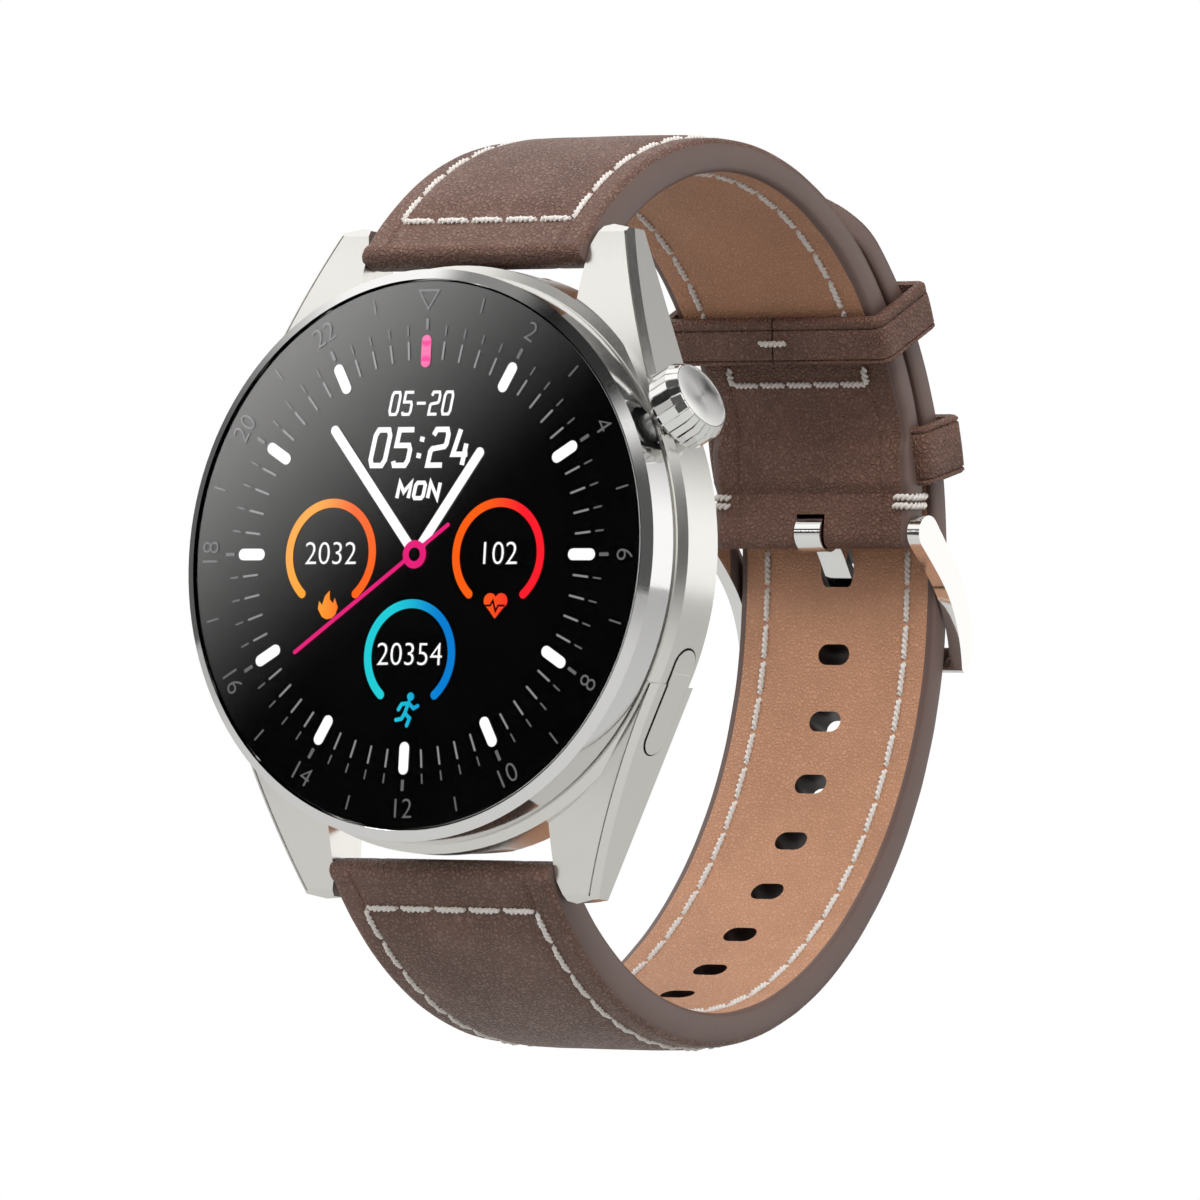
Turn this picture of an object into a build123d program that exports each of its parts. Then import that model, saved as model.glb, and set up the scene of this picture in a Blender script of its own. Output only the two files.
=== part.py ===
from build123d import *
import math
import os

# Round smartwatch, buckled into a loop. Millimetres.
# It is drawn with y = 0 on the cover glass, +Y towards the wrist, +Z towards twelve o'clock and
# +X towards the crown. save() moves every piece so that the origin is the centre of the flat
# window in the case back.
CASE_DEPTH = 10.5

# Case
CASE_R = 24.0            # outermost radius of the case side
BEZEL_R = 23.3           # polished band under the glass
GLASS_R = 22.4
CAVITY_R = 20.4
BEZEL_FOOT = 3.45        # depth at which the bezel ring sits on the case
SIDE_TOP = 4.4           # start and end of the straight case side
SIDE_END = 8.5
BACK_Y = 10.0            # depth of the case's own back edge
LEDGE_Y = 9.2            # shelf that carries the back cover
COVER_R = 22.1
WINDOW_R = 8.5

# Lugs and straps
LUG_GAP = 22.2
LUG_TIP_Z = 27.6
LUG_OUTER_TIP = (14.7, 27.2)     # (x, z) ends of a lug's outer side
LUG_OUTER_ROOT = (22.3, 9.1)
LUG_CHAMFER = 0.5
STRAP_HALF = 11.0        # half width at the lugs
TAPER_HALF = 10.0        # half width from the taper's end to the buckle
TAPER_START_Y = 8.0
TAPER_END_Y = 42.0
LINING = 0.9
FLAP_THICKNESS = 1.35
FLAP_START = 0.765       # share of the short strap where the folded flap begins
UPPER_BAR = (7.4, 25.0)  # (y, z) of the three spring bars
LOWER_BAR = (7.6, -25.2)
BUCKLE_BAR = (57.4, 7.2)

# Strap curves in the (y, z) plane. Each starts from the first arc's centre and lists
# (radius, start angle, end angle) in degrees; every arc is tangent to the one before it.
SHORT_CURVE = ((29.1, 8.2), [(26.1, 142.3, 39.9), (29.5, 39.9, 3.5)])
LONG_CURVE = ((30.3, -7.9), [(27.15, 217.3, 308.4), (36.33, 308.4, 360), (60, 360, 370), (33.4, 370, 421)])
# Thickness along each strap: (share of its length, thickness)
SHORT_THICKNESS = [(0, 3.3), (0.2, 3.1), (0.42, 2.65), (0.68, 2.7), (0.9, 3.75), (1, 3.2)]
LONG_THICKNESS = [(0, 3.4), (0.15, 3.2), (0.32, 2.65), (0.6, 2.45), (1, 2.2)]
TAIL_CENTRE = (27.1, 3.92)   # centre of the tail's arc, which the free keeper slides along
TAIL_R = 33.4
HOLE_LENGTH = 3.2
HOLE_WIDTH = 1.8
HOLE_SHARES = [0.304 + 0.0438 * k + 0.0005 * k * k for k in range(8)]     # places along the long strap

# Keepers: (y, z) of the middle, outward angle, width, and reach inward and outward of the middle
KEEPER_HALF = 11.4
KEEPER_WALL = 1.0
FIXED_KEEPER = ((59.43, 14.46), 18.05, 5.1, 3.0, 3.1)
FREE_KEEPER = ((52.7, 24.5), 30.0, 4.3, 4.0, 4.4)

# Buckle
ARM_IN = TAPER_HALF + 0.2
ARM_OUT = 11.4
TONGUE_HALF = 1.3
TONGUE_ROOM = 0.4        # clearance on each side of the tongue

# Crown and side button
CROWN_ANGLE = 28.75
CROWN_Y = 4.9
CROWN_R = 3.4
CROWN_INNER = 24.55      # distance of the crown's inner face from the watch's axis
CROWN_TEETH = 27
STEM_R = 0.9
CROWN_TUBE_R = 1.35
BUTTON_ANGLE = -28.0
BUTTON_Y = 6.75
BUTTON_LENGTH = 9.0
BUTTON_WIDTH = 2.6
BUTTON_GAP = 0.3
POST_R = 0.8
RUNNING = 0.05           # radial running clearance

# Back screws, equally spaced
SCREWS = 4
SCREW_CIRCLE = 18.9
SCREW_R = 0.7
SCREW_HEAD_R = 1.2


def disc(radius, y0, y1, x=0.0, z=0.0):
    """Cylinder along Y from depth y0 to depth y1."""
    body = Cylinder(radius, y1 - y0, align=(Align.CENTER, Align.CENTER, Align.MIN))
    return Pos(x, y0, z) * Rot(-90, 0, 0) * body


def ring(inner, outer, y0, y1):
    return disc(outer, y0, y1) - disc(inner, y0 - 1, y1 + 1)


def block(x0, x1, y0, y1, z0, z1):
    return Pos((x0 + x1) / 2, (y0 + y1) / 2, (z0 + z1) / 2) * Box(x1 - x0, y1 - y0, z1 - z0)


def turned(*points):
    """Solid of revolution about the watch axis from (radius, depth) points."""
    return revolve(make_face(Polyline(*points, close=True)), Axis.Y)


def radial_plane(angle, depth, rho):
    """Plane facing outward along a radius; its x runs along the case's edge."""
    a = math.radians(angle)
    out = (math.cos(a), 0, math.sin(a))
    along = (-math.sin(a), 0, math.cos(a))
    return Plane(origin=(rho * out[0], depth, rho * out[2]), x_dir=along, z_dir=out)


def radial_rod(angle, depth, radius, rho0, rho1):
    return extrude(radial_plane(angle, depth, rho0) * Circle(radius), rho1 - rho0)


def radial_block(angle, depth, width, height, rho0, rho1):
    return extrude(radial_plane(angle, depth, rho0) * Rectangle(width, height), rho1 - rho0)


def cross_rod(y, z, radius, x0, x1):
    return extrude(Plane.YZ.offset(x0) * Pos(y, z) * Circle(radius), x1 - x0)


def side_profile(edges, half_width):
    """Closed (y, z) outline made solid between -half_width and +half_width in x."""
    return extrude(Plane.YZ * make_face(edges), half_width, both=True)


def save(name, shape):
    solids = [s.moved(Location((0, -CASE_DEPTH, 0))) for s in shape.solids()]
    export_step(solids[0] if len(solids) == 1 else Compound(children=solids), f"parts/{name}.step")


# ---------------------------------------------------------------- head

def screw_places():
    """(x, z) of the four back screws."""
    angles = [math.radians(45 + 360 * k / SCREWS) for k in range(SCREWS)]
    return [(SCREW_CIRCLE * math.cos(a), SCREW_CIRCLE * math.sin(a)) for a in angles]


def lug_outline():
    """Plan of the upper right lug, from inside the case to the tip."""
    return [(LUG_GAP / 2, 12), (LUG_GAP / 2, 25.6), (11.75, 27.4), (12.6, LUG_TIP_Z), LUG_OUTER_TIP,
            LUG_OUTER_ROOT, (20, 7)]


def lug_plan():
    return extrude(Plane.XZ * make_face(Polyline(*lug_outline(), close=True)), -12)


def lug_side():
    """Side view of the lugs: sloping front, blunt tip, flat back."""
    root = (3.85, 10)
    front = ThreePointArc(root, (5.0, 20.5), (7.0, 26.9))
    rest = Polyline((7.0, 26.9), (7.7, LUG_TIP_Z), (8.9, 27.4), (BACK_Y, 26.2), (BACK_Y, 10), root)
    return front + rest


def lug_groove(lug):
    """Thin parting line beside the chamfer on a lug's outer front edge."""
    depth, width = 0.3, 0.13
    tip, root = Vector(*LUG_OUTER_TIP), Vector(*LUG_OUTER_ROOT)
    along = (root - tip).normalized()
    inward = Vector(along.Y, -along.X)
    near, far = inward * LUG_CHAMFER, inward * (LUG_CHAMFER + width)
    corners = [tip + near, root + near, root + far, tip + far]
    strip = make_face(Polyline(*[(c.X, c.Y) for c in corners], close=True))
    return (lug - Pos(0, depth, 0) * lug) & extrude(Plane.XZ * strip, -9)


def make_case():
    rim = turned((CAVITY_R, BEZEL_FOOT), (22.95, BEZEL_FOOT), (22.95, 3.6), (BEZEL_R, 3.65), (BEZEL_R, 3.9),
                 (CASE_R, SIDE_TOP), (CASE_R, SIDE_END), (22.7, BACK_Y), (CAVITY_R, BACK_Y))
    lug = lug_plan() & side_profile(lug_side(), 30)
    lug = chamfer(lug.edges().group_by(Axis.Y)[-1].filter_by(GeomType.LINE).sort_by(Axis.X)[-1], 1.0)
    lug = chamfer(lug.edges().filter_by(GeomType.LINE, reverse=True).sort_by(Axis.X)[-1], LUG_CHAMFER)
    lug -= lug_groove(lug)
    right = lug + mirror(lug, Plane.XY)
    lugs = right + mirror(right, Plane.YZ)
    case = rim + (lugs - disc(BEZEL_R + 0.03, -1, BEZEL_FOOT + 0.2) - disc(CAVITY_R, -1, 12))
    for x, z in screw_places():
        case += disc(2.0, 4.6, LEDGE_Y, x, z)
        case -= disc(SCREW_R, 5.6, 12, x, z)
    case -= disc(COVER_R + 0.05, LEDGE_Y, 12)
    case -= ring(20.95, 21.55, 8.7, LEDGE_Y + 0.1)
    for y, z in (UPPER_BAR, LOWER_BAR):
        case -= cross_rod(y, z, 0.45, -12.4, 12.4)
        case -= cross_rod(y, z, 2.0, -LUG_GAP / 2, LUG_GAP / 2)
    case -= radial_rod(CROWN_ANGLE, CROWN_Y, CROWN_TUBE_R, 19.0, 26)
    case -= radial_rod(CROWN_ANGLE, CROWN_Y, CROWN_R + 0.25, CROWN_INNER - 0.5, 30)
    mouth = SlotOverall(BUTTON_LENGTH + BUTTON_GAP, BUTTON_WIDTH + BUTTON_GAP)
    case -= extrude(radial_plane(BUTTON_ANGLE, BUTTON_Y, 22.0) * mouth, 5)
    case -= radial_rod(BUTTON_ANGLE, BUTTON_Y, POST_R + RUNNING, 19.0, 23)
    case -= radial_rod(BUTTON_ANGLE, BUTTON_Y, 1.3, 20.9, 21.5)
    return case


def make_head():
    save("mid_case", make_case())
    save("bezel_ring", turned((GLASS_R + 0.05, 0), (BEZEL_R, 0.5), (BEZEL_R, 3.25), (22.95, 3.3),
                              (22.95, BEZEL_FOOT), (21.0, BEZEL_FOOT), (21.0, 1.5), (GLASS_R + 0.05, 1.5)))
    glass = disc(GLASS_R, 0, 1.2)
    save("cover_glass", chamfer(glass.edges().sort_by(Axis.Y)[0], 0.12))
    save("glass_seal", ring(21.05, 22.35, 1.2, 1.5))
    save("display_panel", disc(20.9, 1.2, 2.2))
    frame = disc(20.2, 2.4, 3.0) - block(-4.5, 4.5, 2, 4, 13.2, 14.2)
    save("inner_frame", frame)
    save("display_flex", block(-4, 4, 2.2, 6.6, 13.6, 13.8))
    save("battery", fillet(block(-11, 11, 3.3, 6.3, -12.5, 12.5).edges().filter_by(Axis.Y), 2.0))
    save("main_board", disc(16.4, 6.6, 7.4))
    chips = [(-9, -2, 2, 9), (1, 8, 3, 10), (3, 7, -6, -2), (-8, -4, -9, -5), (-3, 0, -12, -9)]
    save("board_chips", Compound(children=[block(x0, x1, 7.4, 8.3, z0, z1) for x0, x1, z0, z1 in chips]))
    motor = disc(3.8, 3.3, 6.1, -15.5, 0) - disc(0.6, 3.0, 3.7, -15.5, 0)
    save("vibration_motor", motor)
    save("speaker", fillet(block(-6, 6, 3.3, 6.3, -18.6, -13.2).edges().filter_by(Axis.Y), 1.0))
    save("charging_coil", ring(9.0, 14.0, 8.75, 9.1))
    save("sensor_board", disc(8.2, 8.6, 9.1))
    leds = [(4.2 * math.cos(math.radians(90 * k)), 4.2 * math.sin(math.radians(90 * k))) for k in range(4)]
    save("sensor_leds", Compound(children=[block(x - 0.8, x + 0.8, 9.1, 9.28, z - 0.8, z + 0.8)
                                           for x, z in leds + [(0, 0)]]))
    cover = turned((WINDOW_R + 0.05, LEDGE_Y), (COVER_R, LEDGE_Y), (COVER_R, BACK_Y), (12.0, 10.25),
                   (WINDOW_R + 0.05, 10.3))
    screws = []
    for x, z in screw_places():
        cover -= disc(SCREW_HEAD_R + 0.1, 9.5, 12, x, z) + disc(SCREW_R + 0.1, 9, 12, x, z)
        screw = disc(SCREW_HEAD_R, 9.5, 10.0, x, z) + disc(SCREW_R, 6.2, 9.5, x, z)
        screws.append(screw - block(x - 0.9, x + 0.9, 9.75, 11, z - 0.15, z + 0.15)
                      - block(x - 0.15, x + 0.15, 9.75, 11, z - 0.9, z + 0.9))
    save("back_cover", cover)
    save("back_screws", Compound(children=[s.solid() for s in screws]))
    save("back_gasket", ring(21.0, 21.5, 8.75, LEDGE_Y))
    window = disc(WINDOW_R, 9.3, CASE_DEPTH)
    save("sensor_window", fillet(window.edges().sort_by(Axis.Y)[-1], 0.15))


# ---------------------------------------------------------------- crown and button

def make_crown():
    face = radial_plane(CROWN_ANGLE, CROWN_Y, 0)
    profile = Polyline((0, 25.7), (2.2, 25.7), (2.2, CROWN_INNER), (3.15, CROWN_INNER), (CROWN_R, 24.8),
                       (CROWN_R, 26.6), (2.95, 27.4), (2.85, 27.5), (0, 27.5), close=True)
    cap = revolve(Plane.XZ * make_face(profile), Axis.Z)
    for k in range(CROWN_TEETH):
        groove = Rot(0, 0, 360 * k / CROWN_TEETH) * Pos(3.5, 0, 26) * Rot(0, -8, 0) * Cylinder(0.2, 4)
        cap -= groove
    save("crown_cap", face.location * cap)
    stem = radial_rod(CROWN_ANGLE, CROWN_Y, STEM_R, 16.5, 25.7)
    flat = radial_plane(CROWN_ANGLE, CROWN_Y - 1.2, 16.0)
    keyed = extrude(flat * Rectangle(3, 1.2), 4.4)
    save("crown_stem", stem - keyed)
    save("crown_tube", radial_rod(CROWN_ANGLE, CROWN_Y, CROWN_TUBE_R, 20.0, 25.2)
         - radial_rod(CROWN_ANGLE, CROWN_Y, STEM_R + RUNNING, 19, 26))
    save("crown_o_ring", radial_rod(CROWN_ANGLE, CROWN_Y, 2.2, 24.7, 25.3)
         - radial_rod(CROWN_ANGLE, CROWN_Y, CROWN_TUBE_R + RUNNING, 24, 26))
    wheel = radial_rod(CROWN_ANGLE, CROWN_Y, 1.3, 18.4, 19.4)
    bore = radial_rod(CROWN_ANGLE, CROWN_Y, STEM_R + RUNNING, 18, 20)
    key_space = extrude(radial_plane(CROWN_ANGLE, CROWN_Y - 1.15 - RUNNING, 17.5) * Rectangle(3, 1.2), 2.5)
    save("encoder_wheel", wheel - (bore - key_space))
    save("crown_switch", radial_block(CROWN_ANGLE, 5.1, 3, 3, 14.9, 16.05))


def make_button():
    slot = radial_plane(BUTTON_ANGLE, BUTTON_Y, 22.4) * SlotOverall(BUTTON_LENGTH, BUTTON_WIDTH)
    # Its face stands a little above the case side and the lug that runs into it.
    side = disc(CASE_R + 0.1, 0, 12) + scale(mirror(lug_plan(), Plane.XY), (1.004, 1, 1.004))
    save("button_cap", extrude(slot, 4) & (side - disc(22.4, -1, 13)))
    save("button_post", radial_rod(BUTTON_ANGLE, BUTTON_Y, POST_R, 18.0, 22.4))
    save("button_seal", radial_rod(BUTTON_ANGLE, BUTTON_Y, 1.3, 20.9, 21.5)
         - radial_rod(BUTTON_ANGLE, BUTTON_Y, POST_R + RUNNING, 20, 22))
    save("button_switch", radial_block(BUTTON_ANGLE, BUTTON_Y, 4, 3, 16.6, 17.6))


# ---------------------------------------------------------------- strap

def arcs_of(curve):
    """List of (centre, radius, start, end) with each arc's centre found from tangency."""
    (cy, cz), spans = curve
    arcs = []
    last_radius = spans[0][0]
    for radius, start, end in spans:
        a = math.radians(start)
        cy += (last_radius - radius) * math.cos(a)
        cz += (last_radius - radius) * math.sin(a)
        arcs.append(((cy, cz), radius, start, end))
        last_radius = radius
    return arcs


def curve_point(curve, share, offset):
    """Point at a share of the curve's length, moved outward by offset."""
    arcs = arcs_of(curve)
    lengths = [radius * abs(math.radians(end - start)) for _, radius, start, end in arcs]
    left = share * sum(lengths)
    for ((cy, cz), radius, start, end), length in zip(arcs, lengths):
        if left <= length or length == lengths[-1]:
            a = math.radians(start + (end - start) * left / length)
            return cy + (radius + offset) * math.cos(a), cz + (radius + offset) * math.sin(a)
        left -= length


def thickness_at(table, share):
    for (s0, t0), (s1, t1) in zip(table, table[1:]):
        if share <= s1:
            return t0 + (t1 - t0) * (share - s0) / (s1 - s0)
    return table[-1][1]


def offset_line(curve, offset_of, first, last, stations=13):
    shares = [first + (last - first) * k / (stations - 1) for k in range(stations)]
    return [curve_point(curve, s, offset_of(s)) for s in shares]


def band(curve, inner_of, outer_of, first=0.0, last=1.0, caps=(None, None)):
    """Strip between two offsets of a strap curve; caps are optional rounded end points."""
    inner = offset_line(curve, inner_of, first, last)
    outer = offset_line(curve, outer_of, first, last)
    start_cap, end_cap = caps
    lines = Spline(*inner) + Spline(*outer)
    lines += ThreePointArc(outer[0], start_cap, inner[0]) if start_cap else Line(outer[0], inner[0])
    lines += ThreePointArc(inner[-1], end_cap, outer[-1]) if end_cap else Line(inner[-1], outer[-1])
    return lines


def inner_layer(curve, depth, first, last):
    """Cutter that takes the layer within depth of a strap's inner face."""
    return side_profile(band(curve, lambda s: -3.0, lambda s: depth, first, last), 13)


def taper_plan():
    """Plan of the strap seen along Z: wide at the lugs, narrower from the taper's end."""
    right = [(STRAP_HALF, 0), (STRAP_HALF, TAPER_START_Y), (TAPER_HALF, TAPER_END_Y), (TAPER_HALF, 70)]
    left = [(-x, y) for x, y in reversed(right)]
    return extrude(make_face(Polyline(*right, *left, close=True)), 60, both=True)


def sector(inner_r, outer_r, start, end, half_width):
    """Part of a ring about the tail's centre, between two angles."""
    a0, a1 = math.radians(start), math.radians(end)
    cy, cz = TAIL_CENTRE

    def at(r, a):
        return cy + r * math.cos(a), cz + r * math.sin(a)

    mid = (a0 + a1) / 2
    lines = ThreePointArc(at(inner_r, a0), at(inner_r, mid), at(inner_r, a1))
    lines += Line(at(inner_r, a1), at(outer_r, a1))
    lines += ThreePointArc(at(outer_r, a1), at(outer_r, mid), at(outer_r, a0))
    lines += Line(at(outer_r, a0), at(inner_r, a0))
    return side_profile(lines, half_width)


def keeper_block(keeper, half, inward, outward, width):
    """Block across the strap at a keeper's place."""
    middle, angle = keeper[:2]
    return Pos(0, *middle) * Rot(angle, 0, 0) * block(-half, half, -inward, outward, -width / 2, width / 2)


def make_keeper(keeper):
    width, inward, outward = keeper[2:]
    loop = keeper_block(keeper, KEEPER_HALF, inward, outward, width)
    loop = fillet(loop.edges().group_by(SortBy.LENGTH)[0], 0.8)
    return loop - keeper_block(keeper, TAPER_HALF + 0.35, inward - 0.85, outward - KEEPER_WALL, 3 * width)


def make_straps():
    plan = taper_plan()
    short_out = lambda s: thickness_at(SHORT_THICKNESS, s)
    long_out = lambda s: thickness_at(LONG_THICKNESS, s)

    ends = ((5.65, 24.6), (57.2, 5.85))
    short = side_profile(band(SHORT_CURVE, lambda s: 0.0, short_out, caps=ends), 12)
    short = (short & plan) - sector(TAIL_R - 0.05, 40, 5, 75, 12)
    short -= cross_rod(*UPPER_BAR, 0.92, -12, 12) + cross_rod(*BUCKLE_BAR, 0.78, -12, 12)
    lining_cut = inner_layer(SHORT_CURVE, LINING, 0.06, FLAP_START)
    bar_room = cross_rod(*BUCKLE_BAR, 1.9, -12, 12)
    flap_cut = inner_layer(SHORT_CURVE, FLAP_THICKNESS, FLAP_START, 1.0) + bar_room
    short_lining = short & lining_cut
    flap = short & flap_cut
    short = short - lining_cut - flap_cut
    gap = Polyline((54, 4), (54, 8.0), (55.75, 8.0), (56.6, 9.3), (62, 9.3), (62, 4), close=True)
    tongue_gap = side_profile(gap, TONGUE_HALF + TONGUE_ROOM)
    width, inward = FIXED_KEEPER[2:4]
    keeper_way = keeper_block(FIXED_KEEPER, 12, inward + 0.1, 0.9 - inward, width + 0.4)
    save("short_strap", short - tongue_gap - keeper_way)
    save("short_strap_lining", short_lining)
    save("buckle_flap", flap - tongue_gap - keeper_way)

    long_cap = (5.85, -24.8)
    long = side_profile(band(LONG_CURVE, lambda s: 0.0, long_out, caps=(long_cap, None)), 12) & plan
    tip = make_face(Polyline((-12, 36), (12, 36), (12, 52), (TAPER_HALF, 52), (TAPER_HALF, 49.5))
                    + ThreePointArc((TAPER_HALF, 49.5), (7.2, 44.6), (0, 42.6))
                    + ThreePointArc((0, 42.6), (-7.2, 44.6), (-TAPER_HALF, 49.5))
                    + Polyline((-TAPER_HALF, 49.5), (-TAPER_HALF, 52), (-12, 52), (-12, 36)))
    long -= extrude(Plane.XY.offset(24) * tip, 20)
    long_lining_cut = inner_layer(LONG_CURVE, LINING, 0.05, 1.0)
    long_lining = long & long_lining_cut
    long_shell = long - long_lining_cut - cross_rod(*LOWER_BAR, 0.92, -12, 12)
    holes = make_holes()
    save("long_strap", long_shell - holes)
    save("long_strap_lining", long_lining - holes)
    save("fixed_keeper", make_keeper(FIXED_KEEPER))
    save("free_keeper", make_keeper(FREE_KEEPER))


def make_holes():
    """Slots through the long strap, and the slanted one that the tongue goes through."""
    slot = Polyline((59, 6.5), (61.4, 5.95), (63, 5.2), (65, 4.9), (65, -0.8), (62.5, 1.2), (60.9, 2.9),
                    (59, 3.3), close=True)
    holes = side_profile(slot, TONGUE_HALF + TONGUE_ROOM)
    for share in HOLE_SHARES:
        y, z = curve_point(LONG_CURVE, share, -1)
        y1, z1 = curve_point(LONG_CURVE, share, 4)
        plane = Plane(origin=(0, y, z), x_dir=(1, 0, 0), z_dir=(0, y1 - y, z1 - z))
        holes += extrude(plane * SlotOverall(HOLE_LENGTH, HOLE_WIDTH), 5)
    return holes


# ---------------------------------------------------------------- buckle

def make_buckle():
    y, z = BUCKLE_BAR
    blade = Spline((58.5, 8.2), (61.0, 5.75), (63.2, 3.0), (64.4, 0.3), (64.75, -2.6), (64.4, -3.8))
    blade += ThreePointArc((64.4, -3.8), (63.8, -4.05), (63.5, -3.6))
    blade += Spline((63.5, -3.6), (62.7, -0.9), (61.1, 1.9), (59.0, 4.0), (56.5, 6.0))
    blade += ThreePointArc((56.5, 6.0), (56.1, 7.9), (58.5, 8.2))
    arms = extrude(Plane.YZ * make_face(blade), ARM_OUT, both=True)
    middle = extrude(Plane.YZ * make_face(blade), ARM_IN, both=True) - block(-12, 12, 63.45, 66, -5, -2.0)
    frame = arms - middle
    frame -= block(-ARM_IN, ARM_IN, 62, 63.5, -5, -1)
    frame -= cross_rod(y, z, 0.45, -(ARM_IN + 0.8), ARM_IN + 0.8)
    save("buckle_frame", frame)

    loop = cross_rod(y, z, 1.6, -TONGUE_HALF, TONGUE_HALF)
    path = Spline((58.6, 7.4), (59.9, 6.3), (61.0, 4.9), (62.3, 3.5), (63.7, 2.3), (64.9, 0.5),
                  (65.35, -1.9), (65.45, -3.4))
    under = Spline((58.2, 6.6), (59.4, 5.75), (60.5, 4.35), (61.7, 3.0), (63.0, 1.9), (64.2, 0.2),
                   (64.8, -1.9), (64.85, -3.4))
    # the blade of the tongue, from under the bar through the strap and down over the crossbar
    outline = path + Line((65.45, -3.4), (64.85, -3.4)) + under + Line((58.2, 6.6), (58.6, 7.4))
    tongue = (loop + side_profile(outline, TONGUE_HALF)) - cross_rod(y, z, 0.75 + RUNNING, -2, 2)
    save("buckle_tongue", tongue)


# ---------------------------------------------------------------- spring bars

def make_spring_bar(name, centre, tube_r, tube_half, reach):
    """Tube with a flat-wire spring inside and one sprung tip at each end."""
    y, z = centre
    bore_r = tube_r - 0.22
    tip_r = 0.41
    tube = cross_rod(y, z, tube_r, -tube_half, tube_half)
    tube -= cross_rod(y, z, bore_r, -(tube_half - 0.4), tube_half - 0.4)
    tube -= cross_rod(y, z, tip_r + 0.04, -tube_half - 1, tube_half + 1)
    save(f"{name}_tube", tube)
    collar_in = tube_half - 1.6
    for side, word in ((1, "right"), (-1, "left")):
        x0, x1 = sorted((side * collar_in, side * (tube_half - 0.42)))
        collar = cross_rod(y, z, bore_r - 0.04, x0, x1)
        x0, x1 = sorted((side * collar_in, side * reach))
        save(f"{name}_tip_{word}", collar + cross_rod(y, z, tip_r, x0, x1))
    # The spring is drawn at its shortest, so that both tips can move in.
    half = collar_in - 1.1
    wire = 0.24
    helix = Helix(pitch=1.0, height=2 * half, radius=bore_r - wire / 2 - 0.06)
    section = Plane(origin=helix @ 0, z_dir=helix % 0) * Rectangle(wire, wire)
    coil = sweep(section, path=helix, is_frenet=True)
    save(f"{name}_spring", Pos(-half, y, z) * Rot(0, 90, 0) * coil)


def main():
    os.makedirs("parts", exist_ok=True)
    make_head()
    make_crown()
    make_button()
    make_straps()
    make_buckle()
    make_spring_bar("upper_bar", UPPER_BAR, 0.9, 10.3, 12.1)
    make_spring_bar("lower_bar", LOWER_BAR, 0.9, 10.3, 12.1)
    make_spring_bar("buckle_bar", BUCKLE_BAR, 0.75, 9.8, ARM_IN + 0.7)


main()
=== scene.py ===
from math import cos, pi, radians, sin, sqrt

import bmesh
import bpy
from mathutils import Matrix, Vector, noise


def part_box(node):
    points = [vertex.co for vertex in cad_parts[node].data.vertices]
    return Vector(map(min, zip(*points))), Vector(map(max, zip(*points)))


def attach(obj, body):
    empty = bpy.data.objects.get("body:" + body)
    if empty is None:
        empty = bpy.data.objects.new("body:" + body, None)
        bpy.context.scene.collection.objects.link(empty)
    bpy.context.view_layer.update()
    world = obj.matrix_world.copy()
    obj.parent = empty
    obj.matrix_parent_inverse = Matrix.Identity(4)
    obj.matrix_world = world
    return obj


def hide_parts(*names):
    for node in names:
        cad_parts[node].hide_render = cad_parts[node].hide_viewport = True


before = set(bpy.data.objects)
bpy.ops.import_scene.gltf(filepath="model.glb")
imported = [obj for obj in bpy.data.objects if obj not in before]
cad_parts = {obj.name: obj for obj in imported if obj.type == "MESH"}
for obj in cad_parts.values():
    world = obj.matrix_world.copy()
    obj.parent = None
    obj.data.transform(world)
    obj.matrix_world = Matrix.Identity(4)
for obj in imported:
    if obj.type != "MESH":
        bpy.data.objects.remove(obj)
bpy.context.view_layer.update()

# Looks for the round smartwatch. Sizes are in millimetres with the same depth as the CAD source:
# depth 0 is the front of the glass, +X the crown side, +Z twelve o'clock. at() turns them into the
# row frame in metres, whose origin is on the window in the back.
MM = 0.001
CASE_DEPTH = -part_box("cover_glass")[0].y / MM

GLASS_R = 22.4
CROWN_ANGLE, CROWN_Y = 28.75, 4.9
STRAP_HALF, TAPER_HALF = 11.0, 10.0
TAPER_START_Y, TAPER_END_Y = 8.0, 42.0
FLAP_START = 0.765
TONGUE_GAP = 1.7

# Inner faces of the two straps as tangent arcs: first centre, then (radius, start, end) in degrees
SHORT_CURVE = ((29.1, 8.2), [(26.1, 142.3, 39.9), (29.5, 39.9, 3.5)])
LONG_CURVE = ((30.3, -7.9), [(27.15, 217.3, 308.4), (36.33, 308.4, 360), (60, 360, 370), (33.4, 370, 421)])


def at(x, depth, z):
    return Vector((x, depth - CASE_DEPTH, z)) * MM


def linked(name, data):
    """New object in the scene."""
    made = bpy.data.objects.new(name, data)
    bpy.context.scene.collection.objects.link(made)
    return made


# ---- camera, world, lights, floor

AZIMUTH, ELEVATION, ROLL = (radians(d) for d in (35.52, -4.18, 3.09))
DISTANCE, LENS, SENSOR = 0.9416, 349.1, 36.0
AIM = Vector((0.01227, -0.00148, -0.00288))


def make_camera():
    right = Vector((cos(AZIMUTH), sin(AZIMUTH), 0))
    up = Vector((-sin(AZIMUTH) * sin(ELEVATION), cos(AZIMUTH) * sin(ELEVATION),
                 cos(ELEVATION)))
    back = right.cross(up)
    turned_right = cos(ROLL) * right + sin(ROLL) * up
    turned_up = -sin(ROLL) * right + cos(ROLL) * up
    data = bpy.data.cameras.new("camera")
    data.lens, data.sensor_width = LENS, SENSOR
    data.clip_start, data.clip_end = 0.01, 20
    camera = linked("camera", data)
    turn = Matrix((turned_right, turned_up, back)).transposed().to_4x4()
    camera.matrix_world = Matrix.Translation(AIM + back * DISTANCE) @ turn
    bpy.context.scene.camera = camera


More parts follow.
